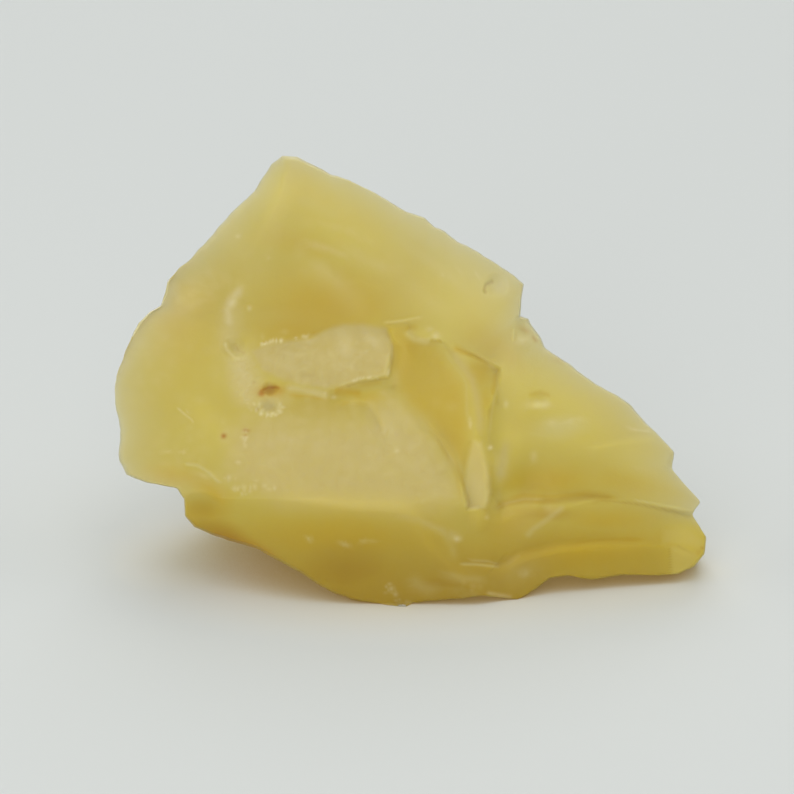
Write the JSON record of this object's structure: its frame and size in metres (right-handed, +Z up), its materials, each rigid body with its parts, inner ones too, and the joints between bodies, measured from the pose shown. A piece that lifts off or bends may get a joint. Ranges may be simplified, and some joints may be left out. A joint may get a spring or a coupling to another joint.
{
  "type": "raw opal stone",
  "caption": "Rough lump of common opal with a broad leaning broken face, a pointed tail and a flat break that it rests on.",
  "frame": {"origin": "on the surface that the stone rests on, under the middle of its box", "axes": "+X along the stone towards its tail, +Y into it from the broad broken face, +Z up"},
  "size_m": [0.0718, 0.0366, 0.0497],
  "materials": {
    "yellow_opal": "waxy translucent fracture"
  },
  "bodies": {
    "root": {"opal_stone": "yellow_opal"}
  },
  "joints": []
}
